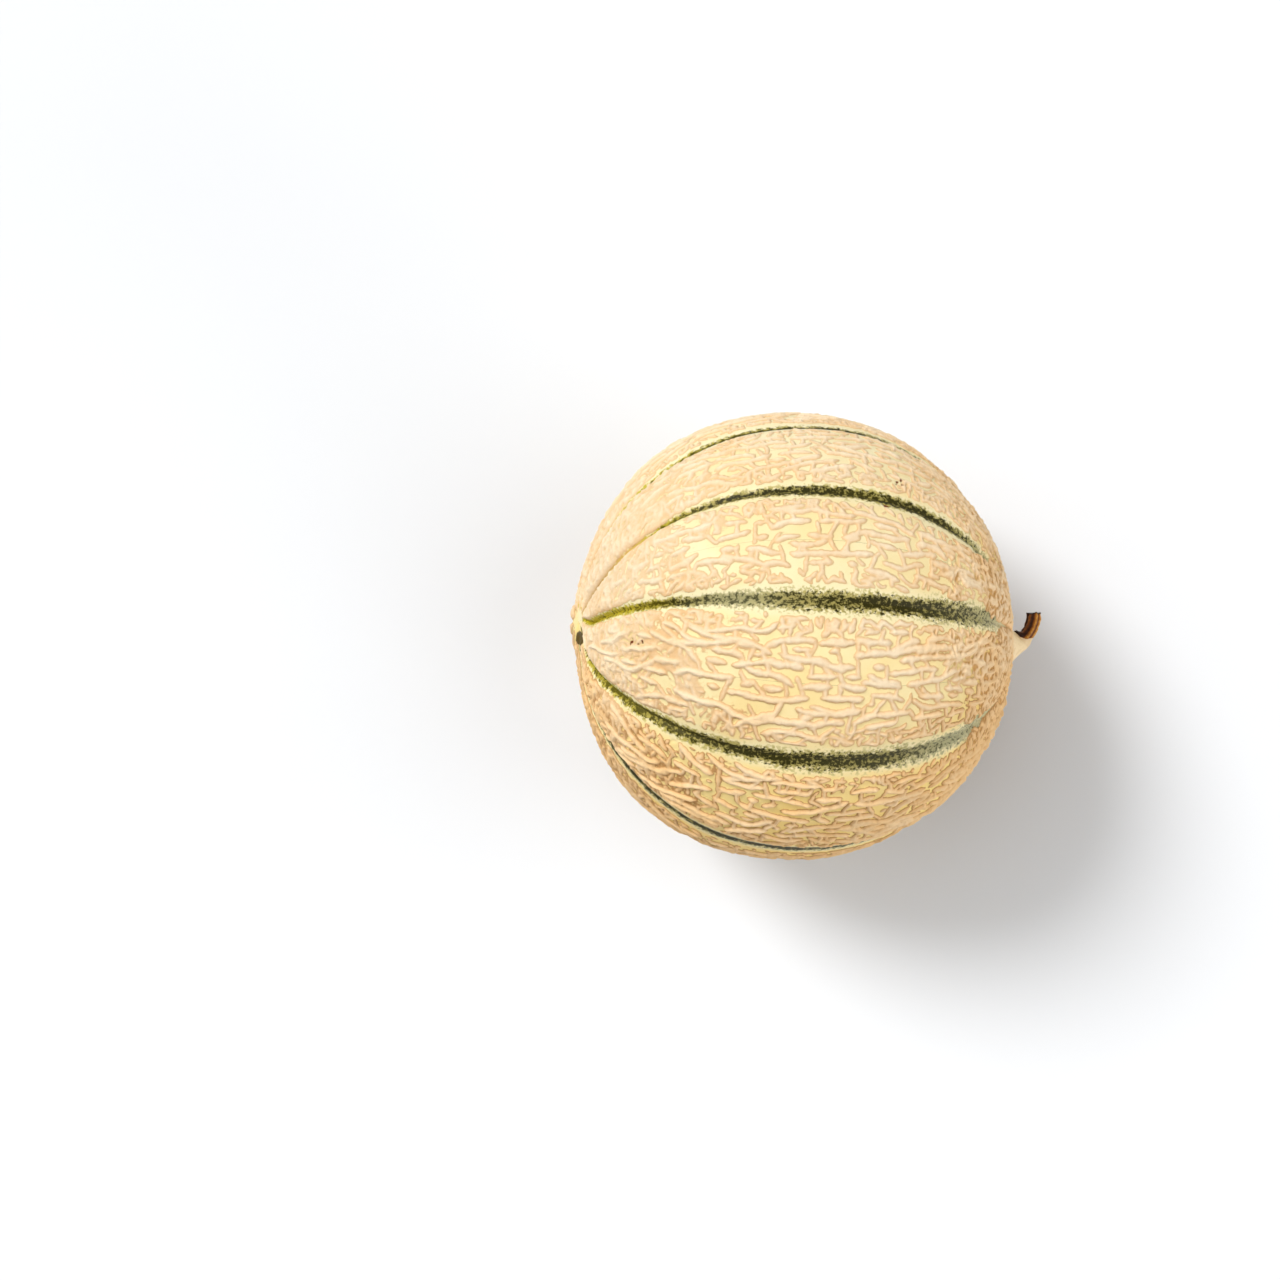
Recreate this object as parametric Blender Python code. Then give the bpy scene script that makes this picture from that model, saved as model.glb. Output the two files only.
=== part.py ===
# Netted cantaloupe melon with its dried stem stub, lying on its side.
# Metres, +Z up. The world origin is the middle of the small flat spot that the melon rests on.
# The melon's own axis runs from the blossom end (-X) to the stem end (+X), with the stem end a
# little lower. The fruit and the stem are both modelled along that axis, about the fruit's middle.

import math

import bmesh
import bpy
from mathutils import Matrix, Vector

# ---- driving dimensions ----
FRUIT_RADIUS = 0.0711            # axis to the crest of a rib, at the widest place
BLOSSOM_HALF_LENGTH = 0.0689     # widest place to the blossom end
STEM_HALF_LENGTH = 0.0706        # widest place to the shoulder at the stem end
BLOSSOM_FULLNESS = 2.15          # 2 is an ellipse, more is squarer
STEM_FULLNESS = 2.04
# Each furrow: its angle about the axis at the widest place, counted from the top towards +Y, how
# much it turns on from there to the stem end, and how far both of its ends bow aside. Degrees.
FURROWS = (
    (7, -4, 1),
    (36, -4, -10),
    (65, 3, 0),
    (100, 5, 2),
    (133, 2, -3),
    (165, -3, 2),
    (205, 2, 3),
    (247, 4, -2),
    (288, -12, -1),
    (328, -3, 6),
)
FURROW_DEPTH = 0.0013            # rib crest to furrow at the widest place
FURROW_SHARPNESS = 2.2           # how narrow a furrow is between two ribs
FURROW_FADE_RADIUS = 0.022       # nearer the axis than this the furrows fade out

BLOSSOM_NUB_HEIGHT = 0.0016      # how far the blossom end stands out of the round body
BLOSSOM_NUB_RADIUS = 0.0125

NECK_HEIGHT = 0.0052             # pale collar that rises to the stem
NECK_FOOT_RADIUS = 0.0140
NECK_END_RADIUS = 0.0034
NECK_LEAN = 36                   # degrees that the end of the neck turns towards +Y
NECK_SHIFT = -0.0026             # how far the neck's end lies from the axis, along Y

STEM_LENGTH = 0.0108             # along its middle
STEM_END_ANGLE = 92              # degrees from the melon's axis at the cut end
STEM_WAIST_RADIUS = 0.0023
STEM_TIP_RADIUS = 0.0025
STEM_FLARE_SHARE = 0.35          # share of the stem's length over which its foot narrows
STEM_RIDGES = 5
STEM_RIDGE_HEIGHT = 0.00022
STEM_GAP = 0.0003                # clearance between the neck and the stem

AXIS_DROP = 5.6                  # degrees that the stem end points down
REST_SPOT_DEPTH = 0.00105        # what the flat spot takes off the round of a rib

# ---- mesh fineness ----
STEPS_PER_RIB = 7
BODY_RINGS = 30
POLE_CROWDING = 0.45             # 0 spaces the rings evenly, more brings them closer at the ends
NECK_RINGS = 7
STEM_SEGMENTS = 20
STEM_RINGS = 10


def makeMaterial(name, colour, roughness):
    material = bpy.data.materials.new(name)
    material.use_nodes = True
    shader = material.node_tree.nodes["Principled BSDF"]
    shader.inputs["Base Color"].default_value = (*colour, 1.0)
    shader.inputs["Roughness"].default_value = roughness
    shader.inputs["Metallic"].default_value = 0.0
    return material


def smoothStep(value):
    value = min(max(value, 0.0), 1.0)
    return value * value * (3.0 - 2.0 * value)


def bodyAlong(radius):
    # Distance along the axis of the stem half's outline, at a distance from the axis.
    share = min(radius / FRUIT_RADIUS, 1.0)
    return STEM_HALF_LENGTH * (1.0 - share ** STEM_FULLNESS) ** (1.0 / STEM_FULLNESS)


def bodyOutline(turn):
    # Outline of the round body: turn goes from 0 at the blossom end to pi at the stem end.
    cosine = math.cos(turn)
    sine = math.sin(turn)
    onBlossomHalf = cosine > 0.0
    fullness = BLOSSOM_FULLNESS if onBlossomHalf else STEM_FULLNESS
    halfLength = BLOSSOM_HALF_LENGTH if onBlossomHalf else STEM_HALF_LENGTH
    scale = (abs(cosine) ** fullness + sine ** fullness) ** (-1.0 / fullness)
    radius = FRUIT_RADIUS * sine * scale
    along = -halfLength * cosine * scale
    if onBlossomHalf:
        along -= BLOSSOM_NUB_HEIGHT * smoothStep(1.0 - radius / BLOSSOM_NUB_RADIUS)
    return along, radius


def neckEnd():
    # Centre of the neck's end face and the direction that it faces, in the melon's own frame.
    lean = math.radians(NECK_LEAN)
    centre = Vector((bodyAlong(NECK_END_RADIUS) + NECK_HEIGHT, NECK_SHIFT, 0.0))
    return centre, Vector((math.cos(lean), math.sin(lean), 0.0))


def outlineRings():
    # One entry per ring, blossom end to stem end: along, radius, share of the neck's lean, and
    # position, which runs from -1 at the blossom end over 0 at the widest place to 1.
    rings = []
    lastTurn = math.pi - math.asin(NECK_FOOT_RADIUS / FRUIT_RADIUS)
    for step in range(1, BODY_RINGS + 1):
        share = step / BODY_RINGS
        crowded = share - POLE_CROWDING * math.sin(2.0 * math.pi * share) / (2.0 * math.pi)
        turn = lastTurn * crowded
        along, radius = bodyOutline(turn)
        rings.append((along, radius, 0.0, turn / (0.5 * math.pi) - 1.0))
    footRadius = rings[-1][1]
    for step in range(1, NECK_RINGS + 1):
        share = step / NECK_RINGS
        radius = footRadius + (NECK_END_RADIUS - footRadius) * share
        along = bodyAlong(radius) + NECK_HEIGHT * share ** 3
        rings.append((along, radius, share ** 2, 1.0))
    return rings


def furrowAngle(furrow, position):
    angle, skew, bow = furrow
    return angle + skew * position + bow * position ** 2


def ribColumns():
    # The furrow before, the furrow after and the rib share (0 in the first, 1 in the second and
    # 0.5 on the crest) of every column of points.
    columns = []
    for index, furrow in enumerate(FURROWS):
        following = FURROWS[(index + 1) % len(FURROWS)]
        for step in range(STEPS_PER_RIB):
            columns.append((furrow, following, step / STEPS_PER_RIB))
    return columns


def pointOnFruit(ring, column):
    along, radius, leanShare, position = ring
    furrowBefore, furrowAfter, ribShare = column
    start = furrowAngle(furrowBefore, position)
    width = (furrowAngle(furrowAfter, position) - start) % 360
    angle = math.radians(start + width * ribShare)
    furrow = (1.0 - math.sin(math.pi * ribShare)) ** FURROW_SHARPNESS
    fade = smoothStep(radius / FURROW_FADE_RADIUS)
    radius -= FURROW_DEPTH * fade * furrow
    lean = math.radians(NECK_LEAN) * leanShare
    across = radius * math.sin(angle)
    return Vector((
        along - across * math.sin(lean),
        across * math.cos(lean) + NECK_SHIFT * leanShare,
        radius * math.cos(angle),
    ))


def ringOfPoints(mesh, points):
    # A closed ring of edges through the points.
    circle = bmesh.ops.create_circle(mesh, cap_ends=False, segments=len(points), radius=1.0)
    for vertex, point in zip(circle["verts"], points):
        vertex.co = point
    return list({edge for vertex in circle["verts"] for edge in vertex.link_edges})


def skinRings(mesh, rings):
    # Bridges the rings of points in order and closes both ends.
    loops = [ringOfPoints(mesh, points) for points in rings]
    for first, second in zip(loops, loops[1:]):
        bmesh.ops.bridge_loops(mesh, edges=first + second)
    for end in (loops[0], loops[-1]):
        bmesh.ops.contextual_create(mesh, geom=end)
    bmesh.ops.recalc_face_normals(mesh, faces=mesh.faces)


def finishObject(name, mesh, material, parent):
    data = bpy.data.meshes.new(name)
    mesh.to_mesh(data)
    mesh.free()
    data.materials.append(material)
    data.shade_smooth()
    data.set_sharp_from_angle(angle=math.radians(45))
    piece = bpy.data.objects.new(name, data)
    bpy.context.scene.collection.objects.link(piece)
    piece.parent = parent
    return piece


def cutRestSpot(mesh, down):
    # Cuts the flat spot square to the downward direction and returns its middle.
    lowest = max(vertex.co.dot(down) for vertex in mesh.verts)
    level = down * (lowest - REST_SPOT_DEPTH)
    geometry = list(mesh.verts) + list(mesh.edges) + list(mesh.faces)
    cut = bmesh.ops.bisect_plane(
        mesh, geom=geometry, dist=1e-7, plane_co=level, plane_no=down, clear_outer=True)
    rim = [item for item in cut["geom_cut"] if isinstance(item, bmesh.types.BMEdge)]
    made = bmesh.ops.contextual_create(mesh, geom=rim)
    return made["faces"][0].calc_center_median_weighted()


def makeFruit(parent, down):
    mesh = bmesh.new()
    columns = ribColumns()
    rings = [[pointOnFruit(ring, column) for column in columns] for ring in outlineRings()]
    skinRings(mesh, rings)
    spot = cutRestSpot(mesh, down)
    bmesh.ops.recalc_face_normals(mesh, faces=mesh.faces)
    rind = makeMaterial("netted_rind", (0.86, 0.66, 0.38), 0.6)
    finishObject("melon_fruit", mesh, rind, parent)
    return spot


def stemRadius(share):
    # Wide where it leaves the neck, narrow just after, a little wider at the cut end.
    flare = (NECK_END_RADIUS - STEM_WAIST_RADIUS) * (1.0 - smoothStep(share / STEM_FLARE_SHARE))
    return STEM_WAIST_RADIUS + flare + (STEM_TIP_RADIUS - STEM_WAIST_RADIUS) * share


def makeStem(parent):
    centre, facing = neckEnd()
    centre = centre + facing * STEM_GAP
    rings = []
    for ring in range(STEM_RINGS + 1):
        share = ring / STEM_RINGS
        heading = math.radians(NECK_LEAN + (STEM_END_ANGLE - NECK_LEAN) * share)
        side = Vector((-math.sin(heading), math.cos(heading), 0.0))
        points = []
        for segment in range(STEM_SEGMENTS):
            angle = 2.0 * math.pi * segment / STEM_SEGMENTS
            radius = stemRadius(share) + STEM_RIDGE_HEIGHT * math.cos(STEM_RIDGES * angle)
            upward = Vector((0.0, 0.0, radius * math.cos(angle)))
            points.append(centre + side * (radius * math.sin(angle)) + upward)
        rings.append(points)
        step = Vector((math.cos(heading), math.sin(heading), 0.0)) * (STEM_LENGTH / STEM_RINGS)
        centre = centre + step
    mesh = bmesh.new()
    skinRings(mesh, rings)
    bark = makeMaterial("dried_stem", (0.22, 0.09, 0.03), 0.75)
    finishObject("stem", mesh, bark, parent)


def main():
    for leftover in list(bpy.data.objects):
        bpy.data.objects.remove(leftover, do_unlink=True)
    axisFrame = bpy.data.objects.new("melon_axis", None)
    bpy.context.scene.collection.objects.link(axisFrame)
    turn = Matrix.Rotation(math.radians(AXIS_DROP), 3, "Y")
    down = turn.transposed() @ Vector((0.0, 0.0, -1.0))
    spot = makeFruit(axisFrame, down)
    makeStem(axisFrame)
    axisFrame.rotation_euler = turn.to_euler()
    axisFrame.location = -(turn @ spot)


main()
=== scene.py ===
import math

import bmesh
import bpy
import numpy as np
from mathutils import Matrix, Vector


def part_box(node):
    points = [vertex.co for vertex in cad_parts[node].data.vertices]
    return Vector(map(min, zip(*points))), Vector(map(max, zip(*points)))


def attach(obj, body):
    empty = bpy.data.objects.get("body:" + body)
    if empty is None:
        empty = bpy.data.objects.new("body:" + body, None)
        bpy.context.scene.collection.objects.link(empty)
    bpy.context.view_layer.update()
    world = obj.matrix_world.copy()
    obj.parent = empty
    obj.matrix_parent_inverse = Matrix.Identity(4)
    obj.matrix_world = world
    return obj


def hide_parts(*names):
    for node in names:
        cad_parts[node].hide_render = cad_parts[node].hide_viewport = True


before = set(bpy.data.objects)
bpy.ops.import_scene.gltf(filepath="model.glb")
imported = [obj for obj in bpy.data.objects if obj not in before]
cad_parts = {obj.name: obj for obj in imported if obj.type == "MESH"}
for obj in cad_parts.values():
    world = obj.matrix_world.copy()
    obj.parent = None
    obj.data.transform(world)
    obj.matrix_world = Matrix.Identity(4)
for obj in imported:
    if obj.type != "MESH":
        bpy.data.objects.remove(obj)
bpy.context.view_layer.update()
fruitLow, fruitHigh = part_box("melon_fruit")
print("frame loaded:", sorted(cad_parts))

# Everything is worked out in millimetres in the melon's own frame, about the fruit's middle:
# x runs from the blossom end to the stem end, z is up and y is across. toWorld turns it into
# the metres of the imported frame.
melon = {
    "radius": 71.1,
    "blossomHalf": 68.9,
    "stemHalf": 70.6,
    "blossomFullness": 2.15,
    "stemFullness": 2.04,
    "nubHeight": 1.6,
    "nubRadius": 12.5,
    "nubShift": 4.0,         # of the nub's crest from the axis, along y
    "neckHeight": 5.2,
    "neckFoot": 14.0,
    "neckEnd": 3.2,
    "neckLean": 36.0,
    "neckShift": -1.5,
    "axisDrop": 5.6,
    "restDepth": 1.05,
    "floorGap": 0.05,
    # one per furrow: angle from the top towards +y, turn from middle to stem end, bow of the ends
    "furrows": [
        (8.3, -4, 1), (38.2, -4, -9), (68, 4, 1), (101, 5, 2), (133, 2, -3),
        (165, -3, 2), (205, 2, 3), (247, 4, -2), (288, -12, -1), (328, -5, 3.5),
    ],
    "ribSwell": 1.25,        # crest of a rib above its furrow
    "skinDrop": 0.40,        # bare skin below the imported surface, which the netting reaches
    "scarRise": 8.0,         # where the furrows meet at the blossom end: above the axis
    "scarAside": 4.6,        # and along y
    "scarSpot": -4.6,        # from there to the dark scar, along y
    "scarReach": 22.0,       # the furrows bend towards the scar within this radius
    "blossomShare": 0.25,    # share of the length that counts as the blossom end
    "lumps": 0.30,           # slow unevenness of the whole body
}
furrowCount = len(melon["furrows"])


def smooth(value):
    value = np.clip(value, 0.0, 1.0)
    return value * value * (3.0 - 2.0 * value)


def bell(value, width):
    return np.exp(-(value / width) ** 2)


def buildOutline():
    # Outline from the blossom end over the body and the neck to the middle of the neck's end.
    lastTurn = math.pi - math.asin(melon["neckFoot"] / melon["radius"])
    turn = np.linspace(0.0, lastTurn, 1600)
    cosine = np.cos(turn)
    sine = np.sin(turn)
    power = np.where(cosine > 0.0, melon["blossomFullness"], melon["stemFullness"])
    half = np.where(cosine > 0.0, melon["blossomHalf"], melon["stemHalf"])
    scale = (np.abs(cosine) ** power + sine ** power) ** (-1.0 / power)
    radius = melon["radius"] * sine * scale
    along = -half * cosine * scale
    share = np.linspace(0.0, 1.0, 200)[1:]
    neckRadius = radius[-1] + (melon["neckEnd"] - radius[-1]) * share
    fullness = melon["stemFullness"]
    bodyShare = (1.0 - (neckRadius / melon["radius"]) ** fullness) ** (1.0 / fullness)
    neckAlong = melon["stemHalf"] * bodyShare + melon["neckHeight"] * share ** 3
    allAlong = np.concatenate([along, neckAlong, neckAlong[-1] + 0.0 * share])
    allRadius = np.concatenate([radius, neckRadius, melon["neckEnd"] * (1.0 - share)])
    steps = np.hypot(np.diff(allAlong), np.diff(allRadius))
    blossomHalf = cosine > 0.0
    return {
        "length": np.concatenate([[0.0], np.cumsum(steps)]),
        "along": allAlong,
        "radius": allRadius,
        "lean": np.concatenate([0.0 * turn, share ** 2, 1.0 + 0.0 * share]),
        "position": np.concatenate([turn / (0.5 * math.pi) - 1.0, np.ones(2 * len(share))]),
        "blossomRadius": radius[blossomHalf],
        "blossomAlong": along[blossomHalf],
        "neckStart": float(np.sum(steps[:len(turn) - 1])),
        "neckStop": float(np.sum(steps[:len(turn) - 1 + len(share)])),
    }


outline = buildOutline()
skinLength = outline["neckStart"]      # blossom end to the foot of the neck, along the skin
fullLength = float(outline["length"][-1])


def onOutline(key, distance):
    return np.interp(distance, outline["length"], outline[key])


def furrowAngle(index, position):
    angle, skew, bow = melon["furrows"][index % furrowCount]
    return angle + skew * position + bow * position ** 2


def ribSpan(rib, distance):
    # Start angle and width of a rib in radians, at a distance along the skin.
    position = onOutline("position", distance)
    start = furrowAngle(rib, position)
    width = (furrowAngle(rib + 1, position) - start) % 360
    return np.radians(start), np.radians(width)


def bodyPoint(distance, angle):
    # A point on the plain round body. Near the blossom end the rings slide up to the scar.
    radius = onOutline("radius", distance)
    along = onOutline("along", distance)
    across = radius * np.sin(angle)
    up = radius * np.cos(angle)
    nearBlossom = distance < melon["blossomShare"] * skinLength
    slide = np.where(nearBlossom, smooth(1.0 - radius / melon["scarReach"]), 0.0)
    up = up + melon["scarRise"] * slide
    across = across + melon["scarAside"] * slide
    slidAlong = np.interp(np.hypot(across, up), outline["blossomRadius"], outline["blossomAlong"])
    nub = smooth(1.0 - np.hypot(across - melon["nubShift"], up) / melon["nubRadius"])
    along = np.where(nearBlossom, slidAlong - melon["nubHeight"] * nub, along)
    leanShare = onOutline("lean", distance)
    lean = math.radians(melon["neckLean"]) * leanShare
    return np.stack([
        along - across * np.sin(lean),
        across * np.cos(lean) + melon["neckShift"] * leanShare,
        up,
    ], axis=-1)


def bodyNormal(distance, angle):
    # Outward normal from two small steps on the body.
    small = 0.15
    distance = np.clip(distance, 2.0 * small, fullLength - 2.0 * small)
    aside = small / np.maximum(onOutline("radius", distance), 0.3)
    lengthwise = bodyPoint(distance + small, angle) - bodyPoint(distance - small, angle)
    sideways = bodyPoint(distance, angle + aside) - bodyPoint(distance, angle - aside)
    normal = np.cross(lengthwise, sideways)
    return normal / np.linalg.norm(normal, axis=-1, keepdims=True)


furrow = {
    # along the melon: blossom end 0, foot of the neck 1
    "places": [0.00, 0.06, 0.28, 0.45, 0.75, 0.95, 1.02],
    "depth": [0.50, 0.95, 0.80, 0.40, 0.45, 0.35, 0.05],
    "spread": [0.50, 0.75, 0.95, 1.50, 1.60, 1.20, 1.00],
    "depthShares": [1.0, 1.0, 0.7, 1.0, 1.0, 1.0, 1.0, 1.0, 0.4, 1.0],    # one per furrow
    "swellFade": (3.0, 16.0),     # near the axis the ribs flatten: from this radius, over this
    "grooveFade": (4.0, 8.0),     # and so do the grooves
    "neckFade": 0.85,             # how much of the ribs' swell the foot of the neck loses
    # the dark blossom scar: a small pit with a low rim
    "scarPlace": 0.2,             # only nearer the blossom end than this
    "scarUp": 1.2,
    "scarFlat": 0.4,
    "scarRim": 0.20,
    "scarRimAway": 2.6,
    "scarRimWidth": 1.0,
    "scarDepth": 0.55,
    "scarWidth": 1.5,
}


def scarAway(rib, distance, share):
    # Distance from the dark blossom scar.
    start, width = ribSpan(rib, distance)
    angle = start + width * share
    radius = onOutline("radius", distance)
    aside = radius * np.sin(angle) - melon["scarSpot"]
    return np.hypot(aside, furrow["scarFlat"] * radius * np.cos(angle) - furrow["scarUp"])


def ribHeight(rib, distance, share):
    # Height of the bare skin over the round body, and how far a point lies from the nearest furrow.
    _, width = ribSpan(rib, distance)
    radius = onOutline("radius", distance)
    place = distance / skinLength
    edge = np.minimum(share, 1.0 - share) * width * radius
    swell = melon["ribSwell"] * (1.0 - np.sin(math.pi * np.clip(share, 0.0, 1.0))) ** 2.0
    depth = np.interp(place, furrow["places"], furrow["depth"])
    spread = np.interp(place, furrow["places"], furrow["spread"])
    nearest = np.where(share > 0.5, rib + 1, rib) % furrowCount
    groove = depth * np.array(furrow["depthShares"])[nearest] * np.exp(-(edge / spread) ** 1.6)
    fadeStart, fadeReach = furrow["swellFade"]
    fade = smooth((radius - fadeStart) / fadeReach)
    fade = fade * (1.0 - furrow["neckFade"] * smooth((place - 0.9) / 0.1))
    grooveStart, grooveReach = furrow["grooveFade"]
    height = -swell * fade - groove * smooth((radius - grooveStart) / grooveReach)
    away = scarAway(rib, distance, share)
    rim = furrow["scarRim"] * bell(away - furrow["scarRimAway"], furrow["scarRimWidth"])
    scar = rim - furrow["scarDepth"] * bell(away, furrow["scarWidth"])
    return height + np.where(place < furrow["scarPlace"], scar, 0.0), edge


def placeMelon():
    # Turns the axis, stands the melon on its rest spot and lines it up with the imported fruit.
    turn = np.array(Matrix.Rotation(math.radians(melon["axisDrop"]), 3, "Y"))
    lengths = np.linspace(0.0, skinLength, 300)
    distance, angle = np.meshgrid(lengths, np.linspace(0.0, 2.0 * math.pi, 361))
    radius = onOutline("radius", distance)
    nub = melon["nubHeight"] * smooth(1.0 - radius / melon["nubRadius"])
    along = onOutline("along", distance) - nub * (distance < melon["blossomShare"] * skinLength)
    points = np.stack([along, radius * np.sin(angle), radius * np.cos(angle)], axis=-1)
    points = points.reshape(-1, 3) @ turn.T
    middle = np.array([
        fruitLow.x * 1000.0 - points[:, 0].min(),
        (fruitLow.y + fruitHigh.y) * 500.0,
        -points[:, 2].min() - melon["restDepth"],
    ])
    return turn, middle


melonTurn, melonMiddle = placeMelon()


def toWorld(points):
    return (points @ melonTurn.T + melonMiddle) / 1000.0


def lumps(points):
    # Slow unevenness, read from the place itself so that neighbouring ribs agree.
    x, y, z = points[..., 0], points[..., 1], points[..., 2]
    wave = np.sin(0.085 * x + 1.1) * np.sin(0.093 * y + 0.4) * np.sin(0.088 * z + 2.3)
    wave = wave + 0.6 * np.sin(0.19 * x + 0.7) * np.sin(0.17 * y + 2.0) * np.sin(0.2 * z + 0.9)
    return melon["lumps"] * wave


def setAttribute(data, name, values):
    layer = data.attributes.new(name=name, type="FLOAT", domain="POINT")
    layer.data.foreach_set("value", np.asarray(values, dtype=np.float32).ravel())


def getAttribute(data, name):
    layer = data.attributes[name]
    kind = np.float32 if layer.data_type == "FLOAT" else np.int32
    values = np.empty(len(layer.data), dtype=kind)
    layer.data.foreach_get("value", values)
    return values


def addObject(name, data, material, node):
    data.materials.append(material)
    piece = bpy.data.objects.new(name, data)
    bpy.context.scene.collection.objects.link(piece)
    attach(piece, "root")
    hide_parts(node)
    return piece


def newMaterial(name):
    material = bpy.data.materials.new(name)
    material.use_nodes = True
    material.node_tree.nodes.clear()
    tree = material.node_tree
    shader = tree.nodes.new("ShaderNodeBsdfPrincipled")
    output = tree.nodes.new("ShaderNodeOutputMaterial")
    tree.links.new(shader.outputs["BSDF"], output.inputs["Surface"])
    return material, tree, shader


def link(tree, value, socket):
    # Plugs in another node's output, or sets a plain number or colour.
    if hasattr(value, "links"):
        tree.links.new(value, socket)
    elif isinstance(value, tuple) and len(value) == 3 and socket.type == "RGBA":
        socket.default_value = (*value, 1.0)
    else:
        socket.default_value = value


def calc(tree, operation, first, second=0.0, third=None, clamp=False):
    node = tree.nodes.new("ShaderNodeMath")
    node.operation = operation
    node.use_clamp = clamp
    link(tree, first, node.inputs[0])
    link(tree, second, node.inputs[1])
    if third is not None:
        link(tree, third, node.inputs[2])
    return node.outputs[0]


def remap(tree, value, low, high, outLow=0.0, outHigh=1.0, softly=True):
    node = tree.nodes.new("ShaderNodeMapRange")
    node.interpolation_type = "SMOOTHSTEP" if softly else "LINEAR"
    link(tree, value, node.inputs["Value"])
    link(tree, low, node.inputs["From Min"])
    link(tree, high, node.inputs["From Max"])
    link(tree, outLow, node.inputs["To Min"])
    link(tree, outHigh, node.inputs["To Max"])
    return node.outputs["Result"]


def blend(tree, factor, first, second, mode="MIX"):
    node = tree.nodes.new("ShaderNodeMix")
    node.data_type = "RGBA"
    node.blend_type = mode
    link(tree, factor, node.inputs["Factor"])
    link(tree, first, node.inputs[6])
    link(tree, second, node.inputs[7])
    return node.outputs[2]


def readAttribute(tree, name):
    node = tree.nodes.new("ShaderNodeAttribute")
    node.attribute_name = name
    return node.outputs["Fac"]


def objectPlace(tree):
    return tree.nodes.new("ShaderNodeTexCoord").outputs["Object"]


def combine(tree, x, y, z):
    node = tree.nodes.new("ShaderNodeCombineXYZ")
    for value, socket in zip((x, y, z), node.inputs):
        link(tree, value, socket)
    return node.outputs["Vector"]


def grain(tree, place, size, detail=2.0, roughness=0.5, stretch=(1.0, 1.0, 1.0)):
    # Noise whose lumps are about size millimetres across.
    mapping = tree.nodes.new("ShaderNodeMapping")
    mapping.inputs["Scale"].default_value = stretch
    link(tree, place, mapping.inputs["Vector"])
    node = tree.nodes.new("ShaderNodeTexNoise")
    link(tree, mapping.outputs["Vector"], node.inputs["Vector"])
    node.inputs["Scale"].default_value = 1000.0 / size
    node.inputs["Detail"].default_value = detail
    node.inputs["Roughness"].default_value = roughness
    return node.outputs["Fac"]


def ramp(tree, value, stops):
    node = tree.nodes.new("ShaderNodeValToRGB")
    elements = node.color_ramp.elements
    while len(elements) > 1:
        elements.remove(elements[-1])
    elements[0].position = stops[0][0]
    elements[0].color = (*stops[0][1], 1.0)
    for position, colour in stops[1:]:
        element = elements.new(position)
        element.color = (*colour, 1.0)
    link(tree, value, node.inputs["Fac"])
    return node.outputs["Color"]


def bumpFrom(tree, height, distance):
    node = tree.nodes.new("ShaderNodeBump")
    node.inputs["Strength"].default_value = 1.0
    node.inputs["Distance"].default_value = distance / 1000.0
    link(tree, height, node.inputs["Height"])
    return node.outputs["Normal"]


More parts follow.
